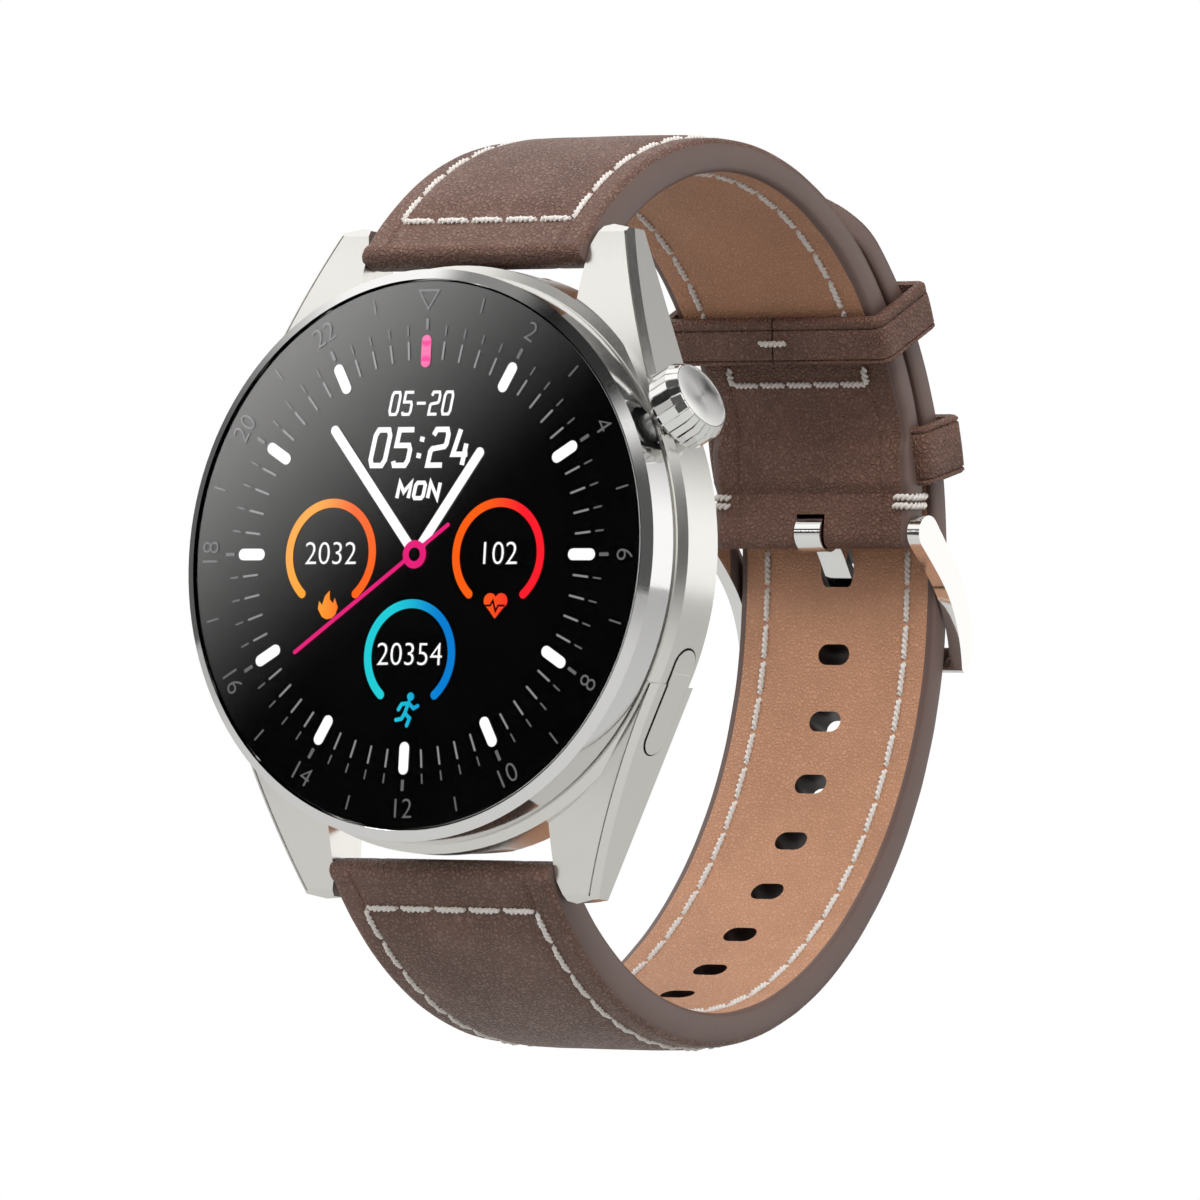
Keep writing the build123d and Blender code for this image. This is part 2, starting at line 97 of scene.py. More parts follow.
class Nodes:
    """Short way to add and join the nodes of one tree."""

    def __init__(self, tree):
        self.tree = tree

    def add(self, kind, inputs=(), **settings):
        made = self.tree.nodes.new(kind)
        for name, value in settings.items():
            setattr(made, name, value)
        for name, value in dict(inputs).items():
            if isinstance(value, bpy.types.NodeSocket):
                self.tree.links.new(value, made.inputs[name])
            else:
                made.inputs[name].default_value = value
        return made

    def place(self):
        return self.add("ShaderNodeTexCoord").outputs["Object"]

    def feed(self, shader, key, value):
        self.tree.links.new(value, shader.inputs[key])

    def maths(self, operation, a, b=0.0, clamp=False):
        return self.add("ShaderNodeMath", {0: a, 1: b}, operation=operation, use_clamp=clamp).outputs[0]

    def times(self, a, b):
        return self.maths("MULTIPLY", a, b)

    def spread(self, value, low, high, to_low=0.0, to_high=1.0):
        """Smooth step of value between low and high."""
        made = self.add("ShaderNodeMapRange", {"Value": value, "From Min": low, "From Max": high,
                                               "To Min": to_low, "To Max": to_high})
        made.interpolation_type = "SMOOTHSTEP"
        return made.outputs["Result"]

    def dot(self, a, b):
        return self.add("ShaderNodeVectorMath", {0: a, 1: b}, operation="DOT_PRODUCT").outputs["Value"]

    def colours(self, factor, a, b):
        made = self.add("ShaderNodeMix", data_type="RGBA")
        for socket, value in ((made.inputs["Factor"], factor), (made.inputs[6], a), (made.inputs[7], b)):
            if isinstance(value, bpy.types.NodeSocket):
                self.tree.links.new(value, socket)
            else:
                socket.default_value = value
        return made.outputs[2]


# Directions in which the room is darker, as a studio has black flags: (direction, radius and soft edge in
# degrees, share of the light that is left there)
FLAGS = [((-0.579, -0.812, 0.073), 9, 8, 0.012), ((0.01, -0.69, 0.73), 10, 12, 0.03),
         ((0.05, -0.78, -0.62), 10, 12, 0.03), ((0.43, -0.9, 0.07), 16, 14, 0.1),
         ((-0.34, -0.49, 0.8), 9, 9, 0.25), ((-1, 0, -0.1), 20, 25, 0.12), ((0.1, -0.2, -0.97), 35, 30, 0.3),
         ((0.455, -0.255, 0.85), 13, 9, 0.05), ((0.94, 0.1, -0.32), 14, 14, 0.35)]
# Far side of the room, which the upright metal shows: (angle about the depth axis in degrees, level)
FAR_SIDE = [(-180, 1.1), (-127, 1.1), (-111, 0.62), (-95, 0.03), (-79, 0.03), (-63, 0.25), (-47, 0.62),
            (-31, 1.0), (-15, 1.15), (25, 1.15), (33, 1.0), (49, 0.62), (65, 0.25), (81, 0.03), (113, 0.04),
            (129, 0.3), (145, 0.62), (161, 0.95), (180, 1.1)]
# The bright sheet whose edge shows in the flat display: middle, direction in which it brightens, level,
# and the angles from its middle between which it fades out
SHEEN_AT = Vector((-0.579, -0.812, 0.073))
SHEEN_TOWARDS = Vector((-0.60, 0.42, 0.68))
SHEEN_LEVEL = 8.0
SHEEN_INNER, SHEEN_OUTER = radians(3), radians(5)


def make_world():
    world = bpy.data.worlds.new("studio")
    bpy.context.scene.world = world
    world.use_nodes = True
    world.node_tree.nodes.clear()
    n = Nodes(world.node_tree)
    way = n.add("ShaderNodeTexCoord").outputs["Generated"]
    level = n.spread(n.dot(way, (0, 0, 1)), -0.8, 0.9, 0.8, 1.15)
    for direction, radius, edge, dark in FLAGS:
        near = n.dot(way, tuple(Vector(direction).normalized()))
        outer, inner = cos(radians(radius + edge)), cos(radians(radius))
        level = n.times(level, n.spread(near, outer, inner, 1, dark))
    axes = n.add("ShaderNodeSeparateXYZ", {0: way}).outputs
    turn = n.maths("ADD", n.maths("DIVIDE", n.maths("ARCTAN2", axes["Z"], axes["X"]), 2 * pi), 0.5)
    ramp = n.add("ShaderNodeValToRGB", {"Fac": turn})
    stops = ramp.color_ramp.elements
    for angle, tone in FAR_SIDE[1:-1]:
        stops.new((angle + 180) / 360).color = (tone, tone, tone, 1)
    for stop, (_, tone) in ((stops[0], FAR_SIDE[0]), (stops[-1], FAR_SIDE[-1])):
        stop.color = (tone, tone, tone, 1)
    far = n.spread(axes["Y"], 0.45, 0.7)
    level = n.maths("ADD", n.times(level, n.maths("SUBTRACT", 1.0, far)),
                    n.times(ramp.outputs["Color"], far))
    from_above = n.spread(n.dot(way, (-0.1, -0.25, 0.96)), -0.75, 0.9, 0.36, 1.25)
    path = n.add("ShaderNodeLightPath").outputs
    level = n.maths("ADD", n.times(level, n.maths("SUBTRACT", 1.0, path["Is Diffuse Ray"])),
                    n.times(from_above, path["Is Diffuse Ray"]))
    towards = SHEEN_TOWARDS.normalized()
    middle = SHEEN_AT.dot(towards)
    rise = n.spread(n.dot(way, tuple(towards)), middle + 0.013, middle + 0.045)
    patch = n.spread(n.dot(way, tuple(SHEEN_AT)), cos(SHEEN_OUTER), cos(SHEEN_INNER))
    sheen = n.times(n.times(rise, patch), SHEEN_LEVEL)
    level = n.maths("ADD", level, sheen)
    lit = n.add("ShaderNodeBackground", {"Strength": level})
    lit.inputs["Color"].default_value = (1.0, 0.99, 0.975, 1)
    seen = n.add("ShaderNodeBackground", {"Strength": 1.0})
    seen.inputs["Color"].default_value = (1, 1, 1, 1)
    mix = n.add("ShaderNodeMixShader", {0: path["Is Camera Ray"], 1: lit.outputs[0], 2: seen.outputs[0]})
    n.add("ShaderNodeOutputWorld", {"Surface": mix.outputs[0]})


def make_lights():
    """Two soft discs: one high on the crown side, one on the other side."""
    for name, place, size, power in (("key", (0.5, -0.55, 0.75), 0.45, 6.0),
                                     ("fill", (-0.8, -0.4, 0.5), 0.6, 3.0)):
        data = bpy.data.lights.new(name, "AREA")
        data.shape, data.size, data.energy = "DISK", size, power
        light = linked(name, data)
        light.location = place
        light.rotation_euler = (-Vector(place)).to_track_quat("-Z", "Y").to_euler()
        light.visible_glossy = False


def make_floor():
    half, drop = 3.0, -0.2
    mesh = bpy.data.meshes.new("floor")
    mesh.from_pydata([(-half, -half, drop), (half, -half, drop), (half, half, drop), (-half, half, drop)],
                     [], [(0, 1, 2, 3)])
    paint = bpy.data.materials.new("floor_paint")
    paint.use_nodes = True
    sockets = paint.node_tree.nodes["Principled BSDF"].inputs
    sockets["Base Color"].default_value = (0.42, 0.42, 0.415, 1)
    sockets["Roughness"].default_value = 0.9
    mesh.materials.append(paint)
    linked("floor", mesh)


# ---- materials

MADE = {}


def material(name, colour, roughness, **sockets):
    """Principled material, kept in MADE; sockets are its constants. Returns (nodes, shader)."""
    made = bpy.data.materials.new(name)
    made.use_nodes = True
    shader = made.node_tree.nodes["Principled BSDF"]
    shader.inputs["Base Color"].default_value = (*colour, 1)
    shader.inputs["Roughness"].default_value = roughness
    for key, value in sockets.items():
        shader.inputs[key.replace("_", " ").title().replace("Ior", "IOR")].default_value = value
    MADE[name] = made
    return Nodes(made.node_tree), shader


def bump(n, shader, height, distance):
    made = n.add("ShaderNodeBump", {"Height": height, "Distance": distance, "Strength": 1.0})
    n.feed(shader, "Normal", made.outputs[0])


def leather(name, dark, light, cell, depth, roughness, crackle=0.0):
    """Grain of small cells over slow unevenness; crackle adds larger fine wrinkles."""
    n, shader = material(name, light, roughness, specular_ior_level=0.35)
    place = n.place()
    drift = n.add("ShaderNodeTexNoise", {"Vector": place, "Scale": 0.35 / (cell * MM), "Detail": 3.0})
    shift = n.add("ShaderNodeVectorMath", {0: drift.outputs["Color"], "Scale": cell * MM * 1.6},
                  operation="SCALE")
    moved = n.add("ShaderNodeVectorMath", {0: place, 1: shift.outputs[0]}, operation="ADD").outputs[0]
    cells = n.add("ShaderNodeTexVoronoi", {"Vector": moved, "Scale": 1 / (cell * MM)},
                  feature="DISTANCE_TO_EDGE")
    grain = n.spread(cells.outputs["Distance"], 0.0, 0.32)
    pores = n.add("ShaderNodeTexNoise", {"Vector": place, "Scale": 3.2 / (cell * MM), "Detail": 4.0})
    height = n.maths("ADD", n.times(grain, 0.7), n.times(pores.outputs["Fac"], 0.6))
    if crackle:
        folds = n.add("ShaderNodeTexVoronoi", {"Vector": moved, "Scale": 0.42 / (cell * MM)},
                      feature="DISTANCE_TO_EDGE")
        ridge = n.spread(folds.outputs["Distance"], 0.0, 0.09, crackle, 0.0)
        height = n.maths("ADD", height, ridge)
        grain = n.maths("ADD", grain, ridge)
    slow = n.add("ShaderNodeTexNoise", {"Vector": place, "Scale": 140.0, "Detail": 2.0}).outputs["Fac"]
    tone = n.maths("ADD", n.times(grain, 0.45), n.times(slow, 0.75), clamp=True)
    n.feed(shader, "Base Color", n.colours(tone, (*dark, 1), (*light, 1)))
    n.feed(shader, "Roughness", n.spread(grain, 0, 1, roughness + 0.12, roughness - 0.08))
    bump(n, shader, height, depth * MM)


def edge_paint(name, colour):
    """Edge lacquer, smooth, with faint unevenness along the cut; with a dark colour it is the painted shade
    on the walls of holes.
    """
    n, shader = material(name, colour, 0.42)
    place = n.place()
    cloud = n.add("ShaderNodeTexNoise", {"Vector": place, "Scale": 260.0, "Detail": 5.0}).outputs["Fac"]
    darker = tuple(c * 0.8 for c in colour)
    n.feed(shader, "Base Color", n.colours(cloud, (*darker, 1), (*colour, 1)))
    bump(n, shader, cloud, 0.05 * MM)


def metal(name, colour, roughness, streak=(1.0, 1.0, 1.0), depth=0.0, uneven=0.06):
    """Steel. streak stretches the polishing marks along an axis, and depth is their height."""
    n, shader = material(name, colour, roughness, metallic=1.0)
    place = n.place()
    stretched = n.add("ShaderNodeMapping", {"Vector": place, "Scale": streak}).outputs[0]
    lines = n.add("ShaderNodeTexNoise", {"Vector": stretched, "Scale": 4500.0, "Detail": 2.0}).outputs["Fac"]
    n.feed(shader, "Roughness", n.spread(lines, 0.3, 0.7, max(roughness - uneven, 0.02), roughness + uneven))
    if depth:
        bump(n, shader, lines, depth * MM)


def plain(name, colour, roughness, grain=0.02, scale=1500.0, **sockets):
    """Moulded or coated surface with a fine texture and slightly uneven tone."""
    n, shader = material(name, colour, roughness, **sockets)
    place = n.place()
    speckle = n.add("ShaderNodeTexNoise", {"Vector": place, "Scale": scale, "Detail": 3.0}).outputs["Fac"]
    lighter = tuple(min(1, c * 1.25 + 0.004) for c in colour)
    n.feed(shader, "Base Color", n.colours(speckle, (*colour, 1), (*lighter, 1)))
    bump(n, shader, speckle, grain * MM)


def circuit(name):
    """Green solder mask with tracks as a fine grid of brick lines."""
    n, shader = material(name, (0.01, 0.09, 0.04), 0.35)
    place = n.place()
    turned = n.add("ShaderNodeMapping", {"Vector": place, "Rotation": (pi / 2, 0, 0)}).outputs[0]
    tracks = n.add("ShaderNodeTexBrick", {"Vector": turned, "Scale": 700.0, "Color1": (0.01, 0.09, 0.04, 1),
                                          "Color2": (0.012, 0.12, 0.05, 1), "Mortar": (0.03, 0.2, 0.09, 1)})
    n.feed(shader, "Base Color", tracks.outputs["Color"])
    bump(n, shader, tracks.outputs["Fac"], 0.03 * MM)


def glow(name, colour, other=None, low=0.0, high=1.0, across=False):
    """Lit pixels of the display, fading to another colour between two heights or two sides in mm."""
    n, shader = material(name, (0, 0, 0), 0.02)
    shader.inputs["Emission Strength"].default_value = 1.0
    shader.inputs["Emission Color"].default_value = (*colour, 1)
    place = n.place()
    parts = n.add("ShaderNodeSeparateXYZ", {0: place}).outputs
    share = n.spread(parts["X" if across else "Z"], low * MM, high * MM)
    lit = n.colours(share, (*colour, 1), (*(other or colour), 1))
    n.feed(shader, "Emission Color", lit)


def srgb(r, g, b):
    return tuple((c / 255 / 12.92) if c < 11 else ((c / 255 + 0.055) / 1.055) ** 2.4 for c in (r, g, b))


def make_materials():
    leather("outer_leather", srgb(70, 47, 39), srgb(126, 97, 86), 0.42, 0.13, 0.4, crackle=0.6)
    leather("flap_leather", srgb(68, 44, 36), srgb(120, 89, 76), 0.4, 0.13, 0.4, crackle=0.55)
    leather("lining_leather", srgb(154, 112, 86), srgb(190, 142, 112), 0.34, 0.07, 0.5, crackle=0.3)
    edge_paint("strap_edge", srgb(98, 78, 72))
    # Walls of the strap holes, the tongue slot and the loop gap: the cut edge darkened nearly to black,
    # painted shade that falls inside them.
    edge_paint("hole_wall_painted_shade", srgb(32, 18, 14))
    plain("thread", srgb(198, 193, 188), 0.8, grain=0.06, scale=3500.0)
    metal("brushed_steel", (0.80, 0.79, 0.76), 0.22, streak=(1, 1, 0.05), uneven=0.015)
    metal("polished_steel", (0.86, 0.86, 0.85), 0.07, uneven=0.03)
    metal("bezel_steel", (0.82, 0.82, 0.82), 0.09, uneven=0.03)
    metal("satin_steel", (0.62, 0.62, 0.61), 0.32, depth=0.002)
    metal("coil_copper", (0.78, 0.38, 0.2), 0.3, streak=(1, 8, 1), depth=0.01)
    n, shader = material("sunburst_steel", (0.88, 0.88, 0.87), 0.33, metallic=1.0, anisotropic=0.9)
    tangent = n.add("ShaderNodeTangent", direction_type="RADIAL", axis="Z")
    n.feed(shader, "Tangent", tangent.outputs[0])
    # The bonded panel carries the reflection for the glass over it, which keeps the fine print clean.
    material("cover_glass", (1, 1, 1), 0.0, transmission_weight=1.0, ior=1.06)
    plain("display_black", (0.0, 0.0, 0.0), 0.02, grain=0.0)
    plain("sensor_glass", (0.004, 0.004, 0.006), 0.08, grain=0.0, coat_weight=1.0)
    plain("black_rubber", (0.012, 0.012, 0.012), 0.7)
    plain("black_plastic", (0.02, 0.02, 0.022), 0.45)
    plain("back_plastic", (0.028, 0.028, 0.03), 0.38, grain=0.015)
    plain("film_amber", (0.36, 0.16, 0.02), 0.3)
    plain("battery_wrap", (0.06, 0.065, 0.075), 0.35, grain=0.05, scale=500.0)
    plain("chip_black", (0.012, 0.012, 0.013), 0.5)
    plain("led_lens", (0.12, 0.5, 0.16), 0.15, coat_weight=0.6)
    circuit("circuit_board")
    glow("dial_white", (1, 1, 1))
    glow("dial_light", srgb(140, 140, 140))
    glow("dial_dim", srgb(104, 104, 106))
    glow("dial_pink", srgb(245, 90, 160))
    glow("dial_magenta", srgb(228, 32, 120))
    glow("ring_flame", srgb(255, 165, 50), srgb(255, 100, 25), -10.5, -6.0, across=True)
    glow("ring_heart", srgb(255, 95, 20), srgb(255, 30, 45), 6.0, 11.0, across=True)
    glow("ring_steps", srgb(35, 205, 215), srgb(10, 125, 210), -2.5, 3.5, across=True)


NODE_MATERIALS = {
    "brushed_steel": ["mid_case", "button_cap"], "bezel_steel": ["bezel_ring"],
    "polished_steel": ["buckle_frame", "buckle_tongue"], "cover_glass": ["cover_glass"],
    "display_black": ["display_panel"], "sensor_glass": ["sensor_window"], "back_plastic": ["back_cover"],
    "black_rubber": ["glass_seal", "back_gasket", "crown_o_ring", "button_seal"],
    "black_plastic": ["inner_frame", "speaker", "encoder_wheel", "crown_switch", "button_switch"],
    "film_amber": ["display_flex"], "battery_wrap": ["battery"],
    "circuit_board": ["main_board", "sensor_board"],
    "chip_black": ["board_chips"], "coil_copper": ["charging_coil"], "led_lens": ["sensor_leds"],
}


def dress_cad_nodes():
    """Gives every CAD node its material, smooth shading with sharp edges, and small bevels on the metal.
    A node that NODE_MATERIALS leaves out is satin steel."""
    sharp = radians(24)
    finish_of = {node: name for name, nodes in NODE_MATERIALS.items() for node in nodes}
    bevels = {"buckle_frame": 0.12, "buckle_tongue": 0.12, "button_cap": 0.12, "bezel_ring": 0.05}
    for name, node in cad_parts.items():
        node.data.materials.clear()
        node.data.materials.append(MADE[finish_of.get(name, "satin_steel")])
        for face in node.data.polygons:
            face.use_smooth = True
        node.data.set_sharp_from_angle(angle=sharp)
        if name in bevels:
            soften = node.modifiers.new("edge", "BEVEL")
            soften.width = bevels[name] * MM
            soften.segments = 2
            soften.limit_method = "ANGLE"
            soften.angle_limit = sharp
            soften.harden_normals = True


# ---- mesh helpers

def mesh_of(name, points, faces, materials):
    mesh = bpy.data.meshes.new(name)
    mesh.from_pydata([tuple(p) for p in points], [], faces)
    for m in materials:
        mesh.materials.append(MADE[m])
    return mesh


def face_outward(mesh):
    work = bmesh.new()
    work.from_mesh(mesh)
    bmesh.ops.recalc_face_normals(work, faces=work.faces)
    work.to_mesh(mesh)
    work.free()


def piece(name, rings, materials, body, face_material=None, sharp=40):
    """Closed skin over rings in the row frame; face_material gives each face's material number."""
    return solid(name, flat(rings), skin(rings), materials, body, face_material, sharp)


def solid(name, points, faces, materials, body, face_material=None, sharp=40):
    """Mesh object from points in the row frame."""
    mesh = mesh_of(name, points, faces, materials)
    if face_material:
        mesh.polygons.foreach_set("material_index", face_material)
    made = linked(name, mesh)
    face_outward(mesh)
    shade(mesh, sharp)
    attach(made, body)
    return made


def shade(mesh, sharp):
    for face in mesh.polygons:
        face.use_smooth = True
    mesh.set_sharp_from_angle(angle=radians(sharp))


def flat(rings):
    return [point for ring in rings for point in ring]


def skin(rings):
    """Faces that join equal rings of points, numbered ring after ring, and close both ends."""
    count = len(rings[0])
    faces = []
    for r in range(len(rings) - 1):
        for k in range(count):
            j = (k + 1) % count
            faces.append((r * count + k, r * count + j, (r + 1) * count + j, (r + 1) * count + k))
    faces.append(tuple(reversed(range(count))))
    faces.append(tuple((len(rings) - 1) * count + k for k in range(count)))
    return faces


def cut(target, cutters):
    """Cuts closed meshes out of a piece and keeps the result as its mesh."""
    for cutter in cutters:
        step = target.modifiers.new("cut", "BOOLEAN")
        step.operation, step.solver, step.object = "DIFFERENCE", "EXACT", cutter
        step.material_mode = "TRANSFER"
    bpy.context.view_layer.update()
    evaluated = target.evaluated_get(bpy.context.evaluated_depsgraph_get())
    result = bpy.data.meshes.new_from_object(evaluated)
    target.modifiers.clear()
    target.data = result
    for cutter in cutters:
        bpy.data.objects.remove(cutter)
    shade(result, 32)


def tool(points, faces, finish):
    """Closed mesh used as a cutter; cut() removes it again."""
    mesh = mesh_of("tool", points, faces, [finish])
    face_outward(mesh)
    made = linked("tool", mesh)
    return made


# ---- strap curves

def arcs_of(curve):
    (cy, cz), spans = curve
    arcs = []
    last_radius = spans[0][0]
    for radius, start, end in spans:
        a = radians(start)
        cy += (last_radius - radius) * cos(a)
        cz += (last_radius - radius) * sin(a)
        arcs.append(((cy, cz), radius, start, end))
        last_radius = radius
    return arcs


def curve_length(curve):
    return sum(radius * abs(radians(end - start)) for radius, start, end in curve[1])


def curve_point(curve, share, offset):
    """(depth, z) at a share of the curve's length, moved outward by offset."""
    arcs = arcs_of(curve)
    left = share * curve_length(curve)
    for k, ((cy, cz), radius, start, end) in enumerate(arcs):
        length = radius * abs(radians(end - start))
        if left <= length or k == len(arcs) - 1:
            a = radians(start + (end - start) * left / length)
            return cy + (radius + offset) * cos(a), cz + (radius + offset) * sin(a)
        left -= length


def table_at(table, share):
    """Smooth interpolation in a table of (share, value)."""
    for (s0, t0), (s1, t1) in zip(table, table[1:]):
        if share <= s1:
            u = max(0.0, (share - s0) / (s1 - s0))
            return t0 + (t1 - t0) * u * u * (3 - 2 * u)
    return table[-1][1]


def half_width(depth):
    u = min(1.0, max(0.0, (depth - TAPER_START_Y) / (TAPER_END_Y - TAPER_START_Y)))
    return STRAP_HALF + (TAPER_HALF - STRAP_HALF) * u


# ---- strap bodies

SHORT_INNER = [(0, 0.0), (0.74, 0.0), (0.758, 0.15), (0.775, 0.78), (0.82, 0.75), (0.865, 1.05), (0.89, 1.0),
               (0.907, 0.42), (0.93, 0.36), (0.944, 0.18), (0.962, 0.68), (0.98, 0.45), (1, 0.35)]
SHORT_OUTER = [(0, 3.3), (0.08, 3.25), (0.42, 2.65), (0.68, 2.7), (0.9, 3.3), (1, 3.0)]
LONG_INNER = [(0, 0.0), (1, 0.0)]
LONG_OUTER = [(0, 3.4), (0.08, 3.3), (0.32, 2.65), (0.6, 2.4), (1, 2.2)]
INNER_ROW = 7.2          # stitch rows, from the strap's middle
OUTER_ROW_IN = 2.35      # outer rows, in from the strap's edge
CROSS_ROW = 2.2          # distance from a strap's lug end to its cross row
LINING_START = 0.05      # share at which the lining begins
PAD = 0.34               # how far the middle panel stands above its stitched border
NOSE_STEPS = 6           # rings in each rounded end
LINING, OUTER, FLAP = 0, 2, 3      # parts of a section; 1 is the painted edge


def half_section(half, low, high, pad, row):
    """(x, height, part) from the middle of the inner face, round the edge, to the middle of the outer.
    Parts are 0 lining, 1 edge, 2 outer leather."""
    inner_r, outer_r = 0.4, 0.75
    scale = half / STRAP_HALF
    row_in = INNER_ROW * min(1, scale * 1.1)
    points = [(0, low, 0), (row_in * 0.5, low, 0), (row_in - 0.55, low, 0), (row_in - 0.2, low + 0.04, 0),
              (row_in, low + 0.12, 0), (row_in + 0.2, low + 0.04, 0), (row_in + 0.5, low, 0),
              (half - inner_r - 0.3, low, 0)]
    for k in range(4):
        a = radians(90 * k / 3)
        points.append((half - inner_r + inner_r * sin(a), low + inner_r - inner_r * cos(a), 1))
    points.append((half + 0.04, (low + high) / 2, 1))
    for k in range(5):
        a = radians(90 * k / 4)
        points.append((half - outer_r + outer_r * cos(a), high - outer_r + outer_r * sin(a),
                       1 if k < 2 else 2))
    row = min(row, half - outer_r - 0.4)
    points += [(row + 0.3, high + 0.02, 2), (row + 0.14, high - 0.04, 2), (row, high - 0.14, 2),
               (row - 0.16, high - 0.03, 2), (row - 0.5, high + pad * 0.45, 2),
               (row - 1.2, high + pad * 0.85, 2), (row * 0.6, high + pad, 2), (row * 0.3, high + pad, 2),
               (0, high + pad, 2)]
    return points


def strap_rings(curve, inner, outer, stations, pad_at, caps):
    """Rings of points along a strap. caps are the (depth, z) ends of its rounded noses, or None."""
    rings = []
    parts = []
    start_cap, end_cap = caps
    turns = [radians(90 * k / NOSE_STEPS) for k in range(1, NOSE_STEPS + 1)]
    nose = [(sin(a), cos(a)) for a in turns]
    plan = [(s, None, 0.0, 1.0) for s in stations]
    if start_cap:
        plan = [(stations[0], start_cap, reach, squeeze) for reach, squeeze in reversed(nose)] + plan
    if end_cap:
        plan += [(stations[-1], end_cap, reach, squeeze) for reach, squeeze in nose]
    for share, cap, reach, squeeze in plan:
        low, high = table_at(inner, share), table_at(outer, share)
        depth_mid, z_mid = curve_point(curve, share, (low + high) / 2)
        half = strap_half(curve, share)
        right = half_section(half, low, high, pad_at(share) if not cap else 0, half - OUTER_ROW_IN)
        ring = right + [(-x, h, part) for x, h, part in reversed(right[1:-1])]
        points = []
        for x, h, _ in ring:
            squeezed = (low + high) / 2 + (h - (low + high) / 2) * max(squeeze, 0.05)
            depth, z = curve_point(curve, share, squeezed)
            if cap:
                depth += (cap[0] - depth_mid) * reach
                z += (cap[1] - z_mid) * reach
            rough = 0.035 * noise.noise(Vector((x * 0.35, depth * 0.35, z * 0.35)))
            outward = (Vector(curve_point(curve, share, 1)) - Vector(curve_point(curve, share, 0))) * rough
            points.append(at(x, depth + outward[0], z + outward[1]))
        rings.append(points)
        parts.append([part for _, _, part in ring])
    return rings, parts


def strap_half(curve, share):
    """Half width, with the tail's rounded tip."""
    depth, z = curve_point(curve, share, 1.2)
    half = half_width(depth)
    tip_start, tip_length = 49.5, 6.9
    if curve is LONG_CURVE and share > 0.85 and depth < tip_start:
        u = min(0.998, (tip_start - depth) / tip_length)
        half *= sqrt(1 - u * u)
    return half


def strap(name, curve, inner, outer, stations, pad_at, caps, flap_from=2.0):
    rings, parts = strap_rings(curve, inner, outer, stations, pad_at, caps)
    count = len(rings[0])
    noses = NOSE_STEPS if caps[0] else 0
    marks = []
    for r in range(len(rings) - 1):
        share = stations[min(max(r - noses, 0), len(stations) - 1)]
        for k in range(count):
            part = max(parts[r][k], parts[r][(k + 1) % count])
            if part == LINING and share >= flap_from:
                part = FLAP
            if part == LINING and share < LINING_START:
                part = OUTER
            marks.append(part)
    marks += [OUTER, OUTER]
    return piece(name, rings, ["lining_leather", "strap_edge", "outer_leather", "flap_leather", "hole_wall_painted_shade"],
                 "head_and_strap", marks, sharp=50)


def steps(first, last, count):
    return [first + (last - first) * k / (count - 1) for k in range(count)]


def padding(curve, share):
    """The middle panel rises after the cross row."""
    return PAD * table_at([(0, 0.2), (CROSS_ROW - 0.8, 0.2), (CROSS_ROW, -0.35), (CROSS_ROW + 2.5, 1)],
                          share * curve_length(curve))


def slot_tool(centre, outward, length, width, reach):
    """Stadium-shaped cutter through a strap; outward is a (depth, z) direction."""
    out = Vector((0, outward[0], outward[1])).normalized()
    along = out.cross(Vector((1, 0, 0)))
    outline = []
    straight = (length - width) / 2
    for side, start in ((1, -90), (-1, 90)):
        for k in range(9):
            a = radians(start + 180 * k / 8)
            outline.append((side * straight + width / 2 * cos(a), width / 2 * sin(a)))
    middle = at(0, *centre)
    points = [middle + (Vector((x, 0, 0)) + along * v + out * h) * MM for h in reach for x, v in outline]
    return tool(points, skin([outline, outline]), "hole_wall_painted_shade")


def prism_tool(outline, half, radius=0.0, middle=0.0):
    """Cutter between -half and +half in x over a (depth, z) outline. With a radius, its ends round off
    towards a middle height."""
    layers = [(half, 1.0)]
    if radius:
        turns = [radians(a) for a in (15, 40, 65, 90)]
        layers = [(half - radius + radius * cos(a), sin(a)) for a in turns]
    layers = [(-x, share) for x, share in layers] + list(reversed(layers))
    points = [at(x, depth, middle + (z - middle) * share) for x, share in layers for depth, z in outline]
    return tool(points, skin([outline] * len(layers)), "hole_wall_painted_shade")


HOLE_LENGTH, HOLE_WIDTH = 3.2, 1.8
HOLE_SHARES = [0.304 + 0.0438 * k + 0.0005 * k * k for k in range(8)]
TONGUE_SLOT = [(59, 6.5), (61.4, 5.95), (63, 5.2), (65, 4.9), (65, -0.8), (62.5, 1.2), (60.9, 2.9),
               (59, 3.3)]
LOOP_GAP = [(54, 3), (54, 7.55), (55.75, 7.75), (56.6, 9.3), (62, 9.3), (62, 3)]
LOOP_GAP_HALF = 1.42


def make_long_strap():
    stations = steps(0, 0.9, 150) + steps(0.903, 0.999, 40)
    made = strap("long_strap_leather", LONG_CURVE, LONG_INNER, LONG_OUTER, stations,
                 lambda share: padding(LONG_CURVE, share), ((5.85, -24.8), None))
    tools = [prism_tool(TONGUE_SLOT, TONGUE_GAP, 0.6, 4.6)]
    for share in HOLE_SHARES:
        centre = curve_point(LONG_CURVE, share, -1)
        far = curve_point(LONG_CURVE, share, 1)
        outward = (far[0] - centre[0], far[1] - centre[1])
        tools.append(slot_tool(centre, outward, HOLE_LENGTH, HOLE_WIDTH, (0, 5)))
    cut(made, tools)
    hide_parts("long_strap", "long_strap_lining")


def make_short_strap():
    def pad_at(share):
        return padding(SHORT_CURVE, share) * table_at([(0, 1), (0.55, 1), (0.7, 0.2), (1, 0)], share)

    made = strap("short_strap_leather", SHORT_CURVE, SHORT_INNER, SHORT_OUTER, steps(0, 1, 130), pad_at,
                 ((5.65, 24.6), (57.2, 5.85)), flap_from=FLAP_START - 0.004)
    cut(made, [prism_tool(LOOP_GAP, LOOP_GAP_HALF)])
    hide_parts("short_strap", "short_strap_lining", "buckle_flap")


# ---- stitching

